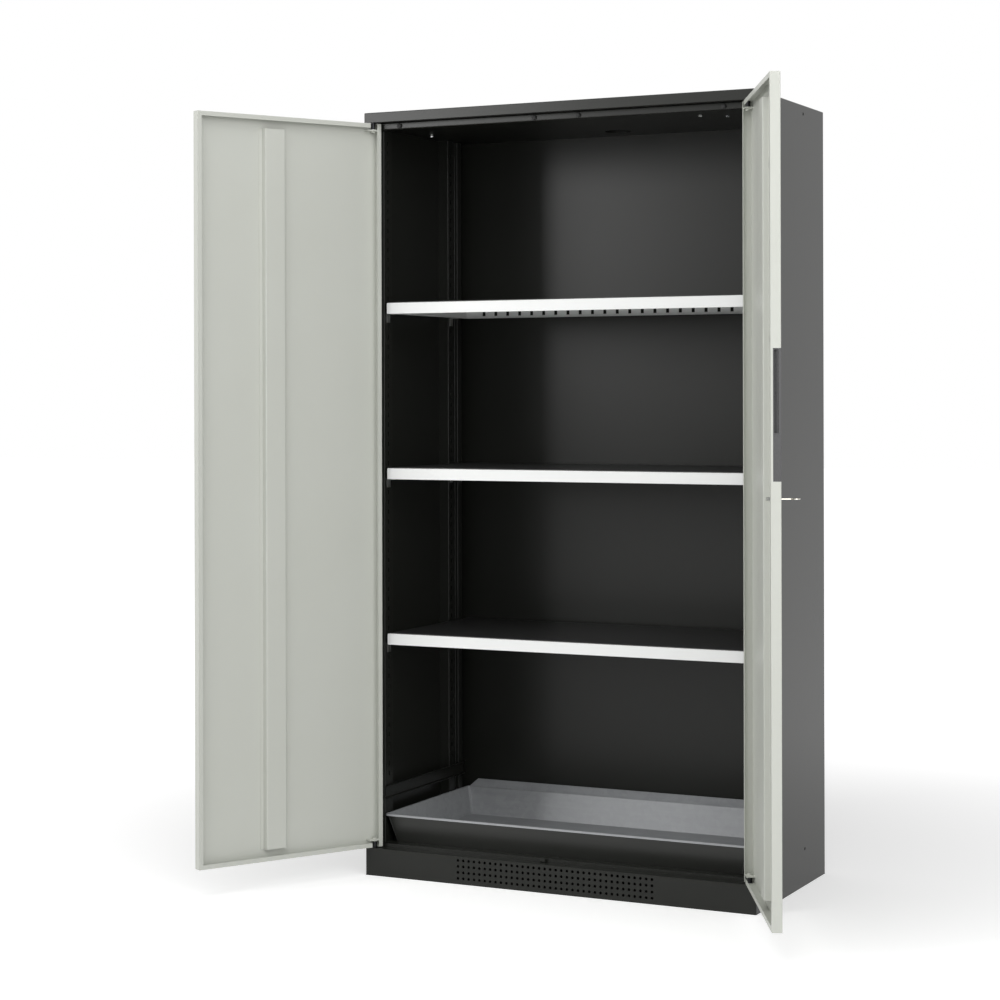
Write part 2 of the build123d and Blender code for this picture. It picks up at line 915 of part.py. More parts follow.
def make_brackets(frame, hand):
    """Plates across the hinge corners that hold the bushes."""
    start = hinge_edge + door_sheet + bracket_inset
    with BuildPart() as brackets:
        for low in (lower_bracket_bottom, upper_bracket_top - bracket_sheet):
            with BuildSketch(frame.offset(low)):
                with Locations((hand * (start + bracket_reach) / 2, (door_outer + door_inner) / 2)):
                    Rectangle(bracket_reach - start, door_depth - 2 * door_sheet)
                Circle(bush_radius + running_clearance, mode=Mode.SUBTRACT)
            extrude(amount=bracket_sheet)
    return brackets


def make_bushes(frame):
    """Collared bushes that turn on the pins."""
    steps = (
        (bush_collar_radius, upper_bracket_top, upper_bracket_top + bush_collar),
        (bush_radius, upper_bush_bottom, upper_bracket_top),
        (bush_collar_radius, lower_bracket_bottom - bush_collar, lower_bracket_bottom),
        (bush_radius, lower_bracket_bottom, lower_bush_top),
    )
    with BuildPart() as bushes:
        for radius, low, high in steps:
            with BuildSketch(frame.offset(low)):
                Circle(radius)
                Circle(pin_radius + running_clearance, mode=Mode.SUBTRACT)
            extrude(amount=high - low)
    return bushes


finish(make_tray(left_frame, 1), "left_door_shell")
finish(make_stiffener(left_frame, 1), "left_door_stiffener")
finish(make_brackets(left_frame, 1), "left_door_brackets")
finish(make_bushes(left_frame), "left_door_bushes")
finish(make_stiffener(right_frame, -1), "right_door_stiffener")
finish(make_brackets(right_frame, -1), "right_door_brackets")
finish(make_bushes(right_frame), "right_door_bushes")

# Right door shell, cut for the grip, the lock and the rods
lock_x = lock_from_edge - free_edge
upper_rod_along = lock_x + rod_offset
lower_rod_along = lock_x - rod_offset
rod_middle = rod_front + rod_sheet / 2
skin_inside = door_outer + door_sheet
grip_bottom = lock_height + grip_from_lock
grip_top = grip_bottom + grip_length
grip_ledge = grip_bottom + grip_ledge_rise

with BuildPart() as right_door_shell:
    add(make_tray(right_frame, -1).part)
    with BuildSketch(right_frame.offset(grip_bottom)):
        with Locations((-free_edge, door_outer)):
            Rectangle(grip_reach, grip_depth, align=(Align.MIN, Align.MIN))
    extrude(amount=grip_top - grip_bottom, mode=Mode.SUBTRACT)
    with BuildSketch(door_plane(right_frame, skin_inside)):
        with Locations((lock_x, lock_height)):
            Circle(barrel_radius + barrel_hole_gap)
    extrude(amount=door_sheet, mode=Mode.SUBTRACT)
    for along, low in ((upper_rod_along, door_top - door_sheet), (lower_rod_along, door_bottom)):
        with BuildSketch(right_frame.offset(low)):
            with Locations((along, rod_middle)):
                Rectangle(rod_width + 2 * rod_guide_gap, rod_sheet + 2 * rod_guide_gap)
        extrude(amount=door_sheet, mode=Mode.SUBTRACT)
finish(right_door_shell, "right_door_shell")

# Grip: a finger hollow behind a bar, and a ribbed panel below it
with BuildPart() as handle_grip:
    block_width = grip_reach - 2 * grip_fit
    block_depth = grip_depth - grip_fit
    with BuildSketch(right_frame.offset(grip_bottom + grip_fit)):
        with Locations((grip_fit - free_edge, door_outer)):
            Rectangle(block_width, block_depth, align=(Align.MIN, Align.MIN))
    extrude(amount=grip_top - grip_bottom - 2 * grip_fit)
    with BuildSketch(right_frame.offset(grip_ledge)):
        with Locations((grip_fit - free_edge, door_outer)):
            Rectangle(
                block_width - grip_wall, block_depth - grip_back, align=(Align.MIN, Align.MIN)
            )
    extrude(amount=grip_top - grip_fit - grip_wall - grip_ledge, mode=Mode.SUBTRACT)
    with BuildSketch(right_frame.offset(grip_ledge)):
        with Locations((grip_fit - free_edge, door_outer)):
            Rectangle(bar_width, bar_depth, align=(Align.MIN, Align.MIN))
    extrude(amount=grip_top - grip_fit - grip_wall - grip_ledge)
    panel_ribs = [grip_bottom + rise for rise in panel_rib_rises]
    low_ends = [grip_bottom + panel_margin] + [rib + panel_rib / 2 for rib in panel_ribs[:-1]]
    for low, rib in zip(low_ends, panel_ribs):
        with BuildSketch(right_frame.offset(low)):
            with Locations((grip_fit - free_edge, door_outer)):
                Rectangle(panel_recess, block_depth - grip_back, align=(Align.MIN, Align.MIN))
        extrude(amount=rib - panel_rib / 2 - low, mode=Mode.SUBTRACT)
finish(handle_grip, "handle_grip")


# Lock: housing and nut stay with the door, plug, cam and key turn
def lock_circle(depth, radius):
    """Circle about the axis of the lock, at a depth and facing out."""
    with BuildSketch(door_plane(right_frame, depth)) as disc:
        with Locations((lock_x, lock_height)):
            Circle(radius)
    return disc.sketch


barrel_end = door_outer + barrel_length
cam_front = barrel_end + cam_gap

with BuildPart() as lock_housing:
    bore = lock_circle(barrel_end, plug_radius + running_clearance)
    extrude(lock_circle(barrel_end, barrel_radius), amount=barrel_length)
    extrude(lock_circle(door_outer, rosette_radius), amount=rosette)
    extrude(bore, amount=barrel_length + rosette, mode=Mode.SUBTRACT)
finish(lock_housing, "lock_housing")

with BuildPart() as lock_nut:
    with BuildSketch(door_plane(right_frame, skin_inside + nut_height)):
        with Locations((lock_x, lock_height)):
            RegularPolygon(nut_radius, 6)
            Circle(barrel_radius + barrel_hole_gap, mode=Mode.SUBTRACT)
    extrude(amount=nut_height)
finish(lock_nut, "lock_nut")

plug_face = door_outer - rosette - plug_proud
key_mid = plug_face - key_reach
bow_mid = key_mid - key_bow_length / 2

with BuildPart() as lock_plug:
    extrude(lock_circle(cam_front, plug_radius), amount=cam_front - plug_face)
    with BuildSketch(door_plane(right_frame, plug_face)):
        with Locations((lock_x, lock_height)):
            Rectangle(key_blade + 2 * keyway_gap, key_sheet + 2 * keyway_gap)
    extrude(amount=-keyway_depth, mode=Mode.SUBTRACT)
finish(lock_plug, "lock_plug")

with BuildPart() as key:
    with BuildSketch(right_frame.offset(lock_height - key_sheet / 2)):
        with Locations((lock_x, plug_face + keyway_depth - keyway_gap)):
            Rectangle(
                key_blade,
                keyway_depth - keyway_gap + key_reach + key_bow_length / 4,
                align=(Align.CENTER, Align.MAX),
            )
        with Locations((lock_x, bow_mid)):
            Ellipse(key_bow_width / 2, key_bow_length / 2)
            Circle(key_ring_radius, mode=Mode.SUBTRACT)
    extrude(amount=key_sheet)
finish(key, "key")

drive_shift = rod_throw / 2
drive_reach = hypot(drive_shift, drive_shift) + drive_pin_radius
drive_pin_end = rod_front + rod_sheet + drive_pin_proud
boss_end = door_inner + boss_proud

with BuildPart() as lock_cam:
    cam_back = cam_front + cam_sheet
    extrude(lock_circle(cam_back, drive_reach + cam_rim), amount=cam_sheet)
    with BuildSketch(door_plane(right_frame, drive_pin_end)):
        with Locations(
            (lock_x + drive_shift, lock_height - drive_shift),
            (lock_x - drive_shift, lock_height + drive_shift),
        ):
            Circle(drive_pin_radius)
    extrude(amount=drive_pin_end - cam_back)
    extrude(lock_circle(boss_end, boss_radius), amount=boss_end - cam_back)
finish(lock_cam, "lock_cam")


# Lock rods: flat bars with a notch for the pin of the cam
rod_notch_reach = drive_reach + rod_notch_end_play - rod_offset + rod_width / 2


def make_rod(along, tip, drive, direction):
    """Bar from below or above the lock to an end of the door."""
    tail = drive - direction * rod_tail
    inner = along - (rod_width / 2 if along > lock_x else -rod_width / 2)
    notch_mid = inner + (rod_notch_reach / 2 if along > lock_x else -rod_notch_reach / 2)
    with BuildPart() as rod:
        with BuildSketch(door_plane(right_frame, rod_front + rod_sheet)):
            with Locations((along, (tip + tail) / 2)):
                Rectangle(rod_width, abs(tip - tail))
            with Locations((notch_mid, drive)):
                Rectangle(
                    rod_notch_reach, 2 * (drive_pin_radius + rod_notch_play), mode=Mode.SUBTRACT
                )
        extrude(amount=rod_sheet)
    return rod


finish(
    make_rod(upper_rod_along, door_top - rod_tip_gap, lock_height - drive_shift, 1),
    "upper_lock_rod",
)
finish(
    make_rod(lower_rod_along, door_bottom + rod_tip_gap, lock_height + drive_shift, -1),
    "lower_lock_rod",
)

upper_guides = (grip_top + guide_from_grip, door_top - guide_from_end)
lower_guides = (lock_height - guide_from_lock, door_bottom + guide_from_end)

with BuildPart() as rod_guides:
    guide_end = rod_front + rod_sheet + guide_cover
    for along, levels in ((upper_rod_along, upper_guides), (lower_rod_along, lower_guides)):
        for level in levels:
            with BuildSketch(right_frame.offset(level)):
                with Locations((along, (skin_inside + guide_end) / 2)):
                    Rectangle(guide_width, guide_end - skin_inside)
                with Locations((along, rod_middle)):
                    Rectangle(
                        rod_width + 2 * rod_guide_gap,
                        rod_sheet + 2 * rod_guide_gap,
                        mode=Mode.SUBTRACT,
                    )
            extrude(amount=guide_height / 2, both=True)
finish(rod_guides, "rod_guides")
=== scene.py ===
# %% [markdown]
# # A storage cabinet for chemicals, dressed for the camera
# The steel work of the cabinet comes ready made: every panel, shelf, door and lock piece is a
# named node of the frame, already in its place and in metres. This lesson keeps those shapes,
# gives each its finish, and models the small things that the frame leaves plain: welds, screw
# heads, the key, the lock's collar and the rubber buffers. Where the photo does not show a thing,
# it is made as such things commonly are.

# %% Load the frame and keep its size
import json
from math import cos, pi, radians, sin

import bmesh
import bpy
from mathutils import Matrix, Vector


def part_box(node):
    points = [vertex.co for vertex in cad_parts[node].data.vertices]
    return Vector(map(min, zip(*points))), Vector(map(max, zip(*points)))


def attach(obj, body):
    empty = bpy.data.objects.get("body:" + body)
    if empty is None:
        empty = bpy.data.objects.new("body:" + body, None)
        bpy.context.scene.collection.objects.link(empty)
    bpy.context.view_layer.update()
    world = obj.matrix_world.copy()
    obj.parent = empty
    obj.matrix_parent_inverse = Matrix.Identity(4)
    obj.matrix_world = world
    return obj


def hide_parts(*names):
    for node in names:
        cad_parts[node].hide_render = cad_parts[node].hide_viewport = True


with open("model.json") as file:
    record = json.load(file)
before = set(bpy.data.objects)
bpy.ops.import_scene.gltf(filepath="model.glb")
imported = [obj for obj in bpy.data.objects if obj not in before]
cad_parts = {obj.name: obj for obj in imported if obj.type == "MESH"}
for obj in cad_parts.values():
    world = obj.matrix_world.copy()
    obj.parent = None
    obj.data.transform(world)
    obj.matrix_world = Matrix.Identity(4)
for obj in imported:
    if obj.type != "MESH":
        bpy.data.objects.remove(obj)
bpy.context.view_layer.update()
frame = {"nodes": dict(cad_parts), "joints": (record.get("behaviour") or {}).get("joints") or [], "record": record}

# %% [markdown]
# ## Colours and nodes
# Paint makers give colours as sRGB codes, but a shader works in linear light, so one function
# turns a code into the number that the socket wants. A second one adds a node to a material,
# sets it up and links it, and a third starts the material for a slot of the record. They keep the
# recipes below down to a few lines each.

# %% Helpers for materials
MM = 0.001
finishes = {}


def tint(code):
    """Turn an sRGB hex code into the linear colour of a shader socket, by the sRGB curve."""
    parts = [int(code[i : i + 2], 16) / 255 for i in (1, 3, 5)]
    return [p / 12.92 if p <= 0.04045 else ((p + 0.055) / 1.055) ** 2.4 for p in parts] + [1]


def add(tree, kind, sockets=None, **settings):
    """Add a node, with its settings and with values or links on its sockets."""
    node = tree.nodes.new(kind)
    for name, value in settings.items():
        setattr(node, name, value)
    for socket, value in (sockets or {}).items():
        if isinstance(value, bpy.types.NodeSocket):
            tree.links.new(value, node.inputs[socket])
        else:
            node.inputs[socket].default_value = value
    return node


def start_finish(name, slot, **shader_values):
    """A new material for a slot of the record, with the constants of its shader."""
    material = bpy.data.materials.new(name)
    material.use_nodes = True
    tree = material.node_tree
    shader = tree.nodes["Principled BSDF"]
    for socket, value in shader_values.items():
        shader.inputs[socket.replace("_", " ")].default_value = value
    place = add(tree, "ShaderNodeTexCoord").outputs["Object"]
    finishes[slot] = material
    return tree, shader, place


def per_metre(size_mm):
    """How often a pattern of this size repeats in a metre."""
    return 1 / (size_mm * MM)


print("grey code #808080 is", round(tint("#808080")[0], 3), "in linear light")

# %% [markdown]
# ## Powder coat
# The carcass, the doors and the shelves are sheet steel, sprayed with dry powder that melts to a
# skin in an oven. The skin is never quite flat: it flows into shallow waves, a few millimetres
# long, that are called orange peel. They could be painted as light and dark spots, but then they
# would not move with the light, so they are bump. A slow drift in tone, as wide as a hand, keeps
# the large panels from looking like plastic film.

# %% Powder coat in three colours
DRIFT_MM = 220
PEEL_RELIEF = 0.1 * MM
SMOOTHER, ROUGHER = 0.03, 0.05


def powder_coat(name, slot, colour, shade, roughness, peel_mm, peel_depth, **shader_values):
    """Sprayed and baked paint on sheet steel."""
    tree, shader, place = start_finish(name, slot, **shader_values)
    drift = add(
        tree,
        "ShaderNodeTexNoise",
        {"Vector": place, "Scale": per_metre(DRIFT_MM), "Detail": 3},
    )
    tone = add(
        tree,
        "ShaderNodeMix",
        {0: drift.outputs["Fac"], 6: tint(colour), 7: tint(shade)},
        data_type="RGBA",
    )
    peel = add(
        tree,
        "ShaderNodeTexNoise",
        {"Vector": place, "Scale": per_metre(peel_mm), "Detail": 2, "Roughness": 0.45},
    )
    sheen = add(
        tree,
        "ShaderNodeMapRange",
        {
            "Value": peel.outputs["Fac"],
            "To Min": roughness - SMOOTHER,
            "To Max": roughness + ROUGHER,
        },
    )
    skin = add(
        tree,
        "ShaderNodeBump",
        {"Height": peel.outputs["Fac"], "Strength": peel_depth, "Distance": PEEL_RELIEF},
    )
    tree.links.new(tone.outputs[2], shader.inputs["Base Color"])
    tree.links.new(sheen.outputs["Result"], shader.inputs["Roughness"])
    tree.links.new(skin.outputs["Normal"], shader.inputs["Normal"])


powder_coat(
    "anthracite_powder_coat", "carcass_paint", "#1d1e1b", "#21221f",
    roughness=0.29, peel_mm=2.2, peel_depth=0.3, Specular_IOR_Level=0.25,
)
powder_coat(
    "light_grey_powder_coat", "door_paint", "#c6c8c1", "#c2c4bc",
    roughness=0.42, peel_mm=2.4, peel_depth=0.3,
)
powder_coat(
    "white_powder_coat", "shelf_paint", "#e9eae9", "#e4e5e4",
    roughness=0.36, peel_mm=2.0, peel_depth=0.25, Specular_IOR_Level=0.25,
)
print("paints", sorted(finishes))

# %% [markdown]
# ## Zinc
# The sump is hot dip galvanised sheet. As the zinc cools on the strip it grows flat crystals, the
# spangle, and the rolls that level the strip leave faint streaks. A Voronoi pattern has the same
# straight edged cells, and a noise that is drawn out along the strip gives the streaks. Zinc soon
# grows a dull grey skin that is no metal, so only a little of its shine is left here.
#
# Outside, below the rim, the sump has a dark colour close to the carcass, with no metal. Which side
# of a wall a point lies on can be worked out from its place alone: the walls lean, so at each height
# they stand at a known distance from the middle, and half a sheet further in the dark colour ends.

# %% Galvanised sheet
STREAK_MM, SPANGLE_MM = 9, 13
STRIP_STRETCH, SPANGLE_SHARE = 0.08, 0.3
DULL_LEAST, DULL_MOST = 0.34, 0.48

tree, shader, place = start_finish("galvanised_sheet", "galvanised_steel")
strip = add(tree, "ShaderNodeMapping", {"Vector": place, "Scale": (STRIP_STRETCH, 1, 1)})
streak = add(
    tree,
    "ShaderNodeTexNoise",
    {"Vector": strip.outputs["Vector"], "Scale": per_metre(STREAK_MM), "Detail": 4},
)
spangle = add(tree, "ShaderNodeTexVoronoi", {"Vector": place, "Scale": per_metre(SPANGLE_MM)})
cell = add(tree, "ShaderNodeSeparateColor", {"Color": spangle.outputs["Color"]})
mottle = add(
    tree,
    "ShaderNodeMix",
    {0: SPANGLE_SHARE, 2: streak.outputs["Fac"], 3: cell.outputs["Red"]},
)
zinc = add(
    tree,
    "ShaderNodeMix",
    {0: mottle.outputs[0], 6: tint("#8d8f92"), 7: tint("#a5a7a9")},
    data_type="RGBA",
)
dull = add(
    tree,
    "ShaderNodeMapRange",
    {"Value": mottle.outputs[0], "To Min": DULL_LEAST, "To Max": DULL_MOST},
)
print("galvanised sheet has", len(tree.nodes), "nodes so far")

# %% Dark outside of the sump
WALL_LEAN, FOOT_INSET = 18 / 74, 21.5 * MM
CORNER, HALF_SHEET, RIM_DROP = 8 * MM, 0.75 * MM, 27 * MM
ZINC_SHINE, OUTSIDE_ROUGHNESS = 0.1, 0.3

low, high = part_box("sump")
half_x, half_y = [(b - a) / 2 - FOOT_INSET - CORNER for a, b in zip(low, high)][:2]
foot = ((low.x + high.x) / 2, (low.y + high.y) / 2, low.z)
from_foot = add(tree, "ShaderNodeVectorMath", {0: place, 1: foot}, operation="SUBTRACT")
apart = add(
    tree, "ShaderNodeVectorMath", {0: from_foot.outputs[0]}, operation="ABSOLUTE"
).outputs[0]
across = add(
    tree, "ShaderNodeVectorMath", {0: apart, 1: (1, 0, -WALL_LEAN)}, operation="DOT_PRODUCT"
)
along = add(
    tree, "ShaderNodeVectorMath", {0: apart, 1: (0, 1, -WALL_LEAN)}, operation="DOT_PRODUCT"
)
flat = add(tree, "ShaderNodeCombineXYZ", {0: across.outputs["Value"], 1: along.outputs["Value"]})
past = add(
    tree,
    "ShaderNodeVectorMath",
    {0: flat.outputs[0], 1: (half_x, half_y, 0)},
    operation="SUBTRACT",
)
beyond = add(tree, "ShaderNodeVectorMath", {0: past.outputs[0], 1: (0, 0, 0)}, operation="MAXIMUM")
reach = add(tree, "ShaderNodeVectorMath", {0: beyond.outputs[0]}, operation="LENGTH")
outside = add(
    tree,
    "ShaderNodeMath",
    {0: reach.outputs["Value"], 1: CORNER - HALF_SHEET},
    operation="GREATER_THAN",
)
rise = add(tree, "ShaderNodeSeparateXYZ", {0: apart})
under_rim = add(
    tree,
    "ShaderNodeMath",
    {0: rise.outputs["Z"], 1: high.z - low.z - RIM_DROP},
    operation="LESS_THAN",
)
# Below the rim and outside the walls, the sump takes a dark colour close to the carcass, no metal and a smoother
# finish.
dark_outside = add(
    tree, "ShaderNodeMath", {0: outside.outputs[0], 1: under_rim.outputs[0]}, operation="MULTIPLY"
).outputs[0]
colour = add(
    tree, "ShaderNodeMix", {0: dark_outside, 6: zinc.outputs[2], 7: tint("#20211e")}, data_type="RGBA"
)
metal = add(tree, "ShaderNodeMapRange", {"Value": dark_outside, "To Min": ZINC_SHINE, "To Max": 0.0})
sheen = add(tree, "ShaderNodeMix", {0: dark_outside, 2: dull.outputs["Result"], 3: OUTSIDE_ROUGHNESS})
tree.links.new(colour.outputs[2], shader.inputs["Base Color"])
tree.links.new(metal.outputs["Result"], shader.inputs["Metallic"])
tree.links.new(sheen.outputs[0], shader.inputs["Roughness"])
foot_size = [round(2 * (half + CORNER) / MM) for half in (half_x, half_y)]
print("sump stands on a foot of", foot_size, "mm")

# %% [markdown]
# ## Zinc plate
# The clips, plates and rods are plated in a bath: a thin bright film with no crystals, only a
# bluish to straw tinge and fine rolling lines from the bar below. The lines are a noise that is
# drawn out along the bar.

# %% Zinc plate
TINGE_MM, LINE_MM, LINE_STRETCH = 18, 0.7, 0.06
LINE_DEPTH, FINE_RELIEF = 0.12, 0.05 * MM
BRIGHT_LEAST, BRIGHT_MOST = 0.24, 0.4

tree, shader, place = start_finish("bright_zinc_plate", "zinc_plate", Metallic=1.0)
tinge = add(
    tree, "ShaderNodeTexNoise", {"Vector": place, "Scale": per_metre(TINGE_MM), "Detail": 2}
)
tone = add(
    tree,
    "ShaderNodeMix",
    {0: tinge.outputs["Fac"], 6: tint("#b4bac0"), 7: tint("#c3c0b4")},
    data_type="RGBA",
)
stretch = add(tree, "ShaderNodeMapping", {"Vector": place, "Scale": (1, 1, LINE_STRETCH)})
lines = add(
    tree,
    "ShaderNodeTexNoise",
    {"Vector": stretch.outputs["Vector"], "Scale": per_metre(LINE_MM), "Detail": 3},
)
sheen = add(
    tree,
    "ShaderNodeMapRange",
    {"Value": lines.outputs["Fac"], "To Min": BRIGHT_LEAST, "To Max": BRIGHT_MOST},
)
score = add(
    tree,
    "ShaderNodeBump",
    {"Height": lines.outputs["Fac"], "Strength": LINE_DEPTH, "Distance": FINE_RELIEF},
)
tree.links.new(tone.outputs[2], shader.inputs["Base Color"])
tree.links.new(sheen.outputs["Result"], shader.inputs["Roughness"])
tree.links.new(score.outputs["Normal"], shader.inputs["Normal"])
print("finishes so far", sorted(finishes))

# %% [markdown]
# ## Pins, lock and plastics
# The pivot pins are turned steel that was blackened in hot salt, which leaves a thin uneven oxide.
# The lock is nickel over brass, warm and smooth. The grip, the bushes and the rod guides are
# moulded nylon with the grain of a spark eroded mould. The mats on the shelves are smooth dark
# sheet, and the buffers are soft rubber, dull and a little dusty. All of them are one base tone
# broken up by one noise at the size of its grain, so one recipe makes them.


# %% Grained finishes
def grained(name, slot, colour, shade, roughness, spread, grain_mm, depth, **shader_values):
    """A finish whose tone, roughness and bump share one grain."""
    tree, shader, place = start_finish(name, slot, **shader_values)
    grain = add(
        tree, "ShaderNodeTexNoise", {"Vector": place, "Scale": per_metre(grain_mm), "Detail": 4}
    )
    tone = add(
        tree,
        "ShaderNodeMix",
        {0: grain.outputs["Fac"], 6: tint(colour), 7: tint(shade)},
        data_type="RGBA",
    )
    sheen = add(
        tree,
        "ShaderNodeMapRange",
        {
            "Value": grain.outputs["Fac"],
            "To Min": roughness - spread,
            "To Max": roughness + spread,
        },
    )
    skin = add(
        tree,
        "ShaderNodeBump",
        {"Height": grain.outputs["Fac"], "Strength": depth, "Distance": FINE_RELIEF},
    )
    tree.links.new(tone.outputs[2], shader.inputs["Base Color"])
    tree.links.new(sheen.outputs["Result"], shader.inputs["Roughness"])
    tree.links.new(skin.outputs["Normal"], shader.inputs["Normal"])


grained(
    "blackened_steel", "dark_steel", "#2a2b2e", "#39393a",
    roughness=0.42, spread=0.08, grain_mm=0.9, depth=0.2, Metallic=1.0,
)
grained(
    "nickel_plate", "nickel_plate", "#cbc7bd", "#d6d3ca",
    roughness=0.2, spread=0.06, grain_mm=3, depth=0.05, Metallic=1.0,
)
grained(
    "moulded_nylon", "black_plastic", "#28282a", "#333335",
    roughness=0.28, spread=0.06, grain_mm=0.8, depth=0.2, IOR=1.53,
)
grained(
    "grey_nylon", "grey_plastic", "#b4b6ae", "#bcbeb6",
    roughness=0.45, spread=0.06, grain_mm=0.8, depth=0.35, IOR=1.53,
)
grained(
    "dark_mat", "mat_plastic", "#1c1c1c", "#212121",
    roughness=0.42, spread=0.05, grain_mm=1.0, depth=0.2, IOR=1.5,
)
grained(
    "black_rubber", "black_rubber", "#1a1a1b", "#242424",
    roughness=0.72, spread=0.08, grain_mm=1.2, depth=0.3, IOR=1.52,
)
print("all finishes", sorted(finishes))

# %% [markdown]
# ## Dress the frame
# The record names a finish for each node, so the nodes need no list here: each takes the material
# of its own slot.

# %% Finishes onto the nodes
for row in frame["record"]["subparts"]:
    for holder in frame["nodes"][row["node"]].material_slots:
        holder.material = finishes[row["material_slot"]]

# %% [markdown]
# ## New pieces and where they go
# A new piece is drawn in millimetres where it is easy to think about: about the middle of a screw,
# or in a door's own space, with X along the door, Y behind its pins and Z up. A matrix then takes
# the mesh to its place, so the finished object sits at the origin as the nodes of the frame do.

# %% Spaces and a maker of pieces
MERGE_MM = 1e-4
joints = {joint["name"]: joint for joint in frame["joints"]}


def door_space(hinge, turn):
    """From millimetres in a door's own space to metres in the cabinet."""
    x, y, _ = joints[hinge]["pos_m"]
    swing = Matrix.Translation((x, y, 0)) @ Matrix.Rotation(radians(turn), 4, "Z")
    return swing @ Matrix.Scale(MM, 4)


cabinet_space = Matrix.Scale(MM, 4)
left_door = door_space("left_door_hinge", -joints["left_door_hinge"]["range_deg"][1])
right_door = door_space("right_door_hinge", joints["right_door_hinge"]["range_deg"][1])


def make_piece(name, mesh, space, body, slot, crease=35, instead_of=None):
    """Finish a mesh: weld it, point it outwards, put it in place and let it ride."""
    bmesh.ops.remove_doubles(mesh, verts=mesh.verts, dist=MERGE_MM)
    bmesh.ops.recalc_face_normals(mesh, faces=mesh.faces)
    bmesh.ops.transform(mesh, matrix=space, verts=mesh.verts)
    data = bpy.data.meshes.new(name)
    mesh.to_mesh(data)
    mesh.free()
    data.shade_smooth()
    data.set_sharp_from_angle(angle=radians(crease))
    data.materials.append(finishes[slot])
    piece = bpy.data.objects.new(name, data)
    bpy.context.scene.collection.objects.link(piece)
    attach(piece, body)
    if instead_of:
        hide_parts(instead_of)
    print(name, len(data.polygons), "faces on", body)


def spun(mesh, profile, steps):
    """Turn a profile of radius and height round the Z axis, as on a lathe."""
    points = [mesh.verts.new((radius, 0, height)) for radius, height in profile]
    closing = [] if profile[0][0] == 0 else points[:1]
    edges = [mesh.edges.new(pair) for pair in zip(points, points[1:] + closing)]
    bmesh.ops.spin(
        mesh, geom=points + edges, axis=(0, 0, 1), angle=2 * pi, steps=steps, use_merge=True
    )
    bmesh.ops.remove_doubles(mesh, verts=mesh.verts, dist=MERGE_MM)


def inward(x, y, z):
    """A place in a door with its Z axis pointing into the cabinet."""
    return Matrix.Translation((x, y, z)) @ Matrix.Rotation(-pi / 2, 4, "X")


def outward(x, y, z):
    """A place with its Z axis pointing at the room."""
    return Matrix.Translation((x, y, z)) @ Matrix.Rotation(pi / 2, 4, "X")


def set_out(mesh, unit, places):
    """Put a copy of a small mesh at each place of a larger one."""
    held = bpy.data.meshes.new("unit")
    for place in places:
        copy = unit.copy()
        bmesh.ops.transform(copy, matrix=place, verts=copy.verts)
        copy.to_mesh(held)
        copy.free()
        mesh.from_mesh(held)
    unit.free()
    bpy.data.meshes.remove(held)


print("left door turned by", joints["left_door_hinge"]["range_deg"][1], "degrees")

# %% [markdown]
# ## Spot welds of the door stiffeners
# Each door has a folded hat section behind its skin, held by two rows of spot welds. The
# electrodes leave a shallow round dent with a raised lip. They could be bump in the paint, but a
# dent is a real shape, so each is a low cone with a dished top.

# %% Spot welds
HAT_MIDDLE, HAT_FOOT = 287, 34.5
FLANGE_FACE = -8.6
WELD_HEIGHTS = range(130, 1880, 116)
WELD_SIDES, WELD_FOOT, WELD_TOP, WELD_RISE = 14, 3.2, 2.6, 0.4
DENT_RIM, DENT_DEPTH = 0.7, 0.25


def weld_rows(name, hand, space, body):
    """Two rows of spot welds on the flanges of a door's hat section."""
    mesh = bmesh.new()
    for along in (HAT_MIDDLE - HAT_FOOT, HAT_MIDDLE + HAT_FOOT):
        for height in WELD_HEIGHTS:
            dot = bmesh.ops.create_cone(
                mesh,
                cap_ends=True,
                segments=WELD_SIDES,
                radius1=WELD_FOOT,
                radius2=WELD_TOP,
                depth=WELD_RISE,
                matrix=inward(hand * along, FLANGE_FACE + WELD_RISE / 2, height),
            )
            lid = max(
                {face for vert in dot["verts"] for face in vert.link_faces},
                key=lambda face: face.calc_center_median().y,
            )
            bmesh.ops.inset_individual(mesh, faces=[lid], thickness=DENT_RIM, depth=-DENT_DEPTH)
    make_piece(name, mesh, space, body, "door_paint")


weld_rows("left_door_spot_welds", 1, left_door, "left_door")
weld_rows("right_door_spot_welds", -1, right_door, "right_door")

# %% [markdown]
# ## Key
# The key is stamped from nickel plated brass: an oval bow with a hole for the ring, and a blade
# with a row of cuts on one edge. The bow is two circles bridged to a ring. The blade is a bar that
# is cut into short lengths, so that single rungs can be pushed in for the cuts.

# %% Bow of the key
LOCK_ALONG, LOCK_HEIGHT = -461, 1002
BOW_MIDDLE, BOW_WIDTH, BOW_LENGTH = -46.9, 24, 21
BOW_SIDES, RING_HOLE, KEY_SHEET = 56, 4, 2.2
FIELD_RIM, FIELD_DEPTH, FACING = 1.3, 0.35, 0.9

mesh = bmesh.new()
bow_rim = bmesh.ops.create_circle(mesh, segments=BOW_SIDES, radius=BOW_WIDTH / 2)["verts"]
bmesh.ops.scale(mesh, vec=(1, BOW_LENGTH / BOW_WIDTH, 1), verts=bow_rim)
bmesh.ops.create_circle(mesh, segments=BOW_SIDES, radius=RING_HOLE)
bmesh.ops.bridge_loops(mesh, edges=mesh.edges)
bmesh.ops.translate(mesh, vec=(0, BOW_MIDDLE, -KEY_SHEET / 2), verts=mesh.verts)
slab = bmesh.ops.extrude_face_region(mesh, geom=mesh.faces)["geom"]
lifted = [item for item in slab if isinstance(item, bmesh.types.BMVert)]
bmesh.ops.translate(mesh, vec=(0, 0, KEY_SHEET), verts=lifted)
bmesh.ops.recalc_face_normals(mesh, faces=mesh.faces)
plates = [face for face in mesh.faces if abs(face.normal.z) > FACING]
bmesh.ops.inset_region(mesh, faces=plates, thickness=FIELD_RIM, depth=-FIELD_DEPTH)
print("bow of the key has", len(mesh.faces), "faces")

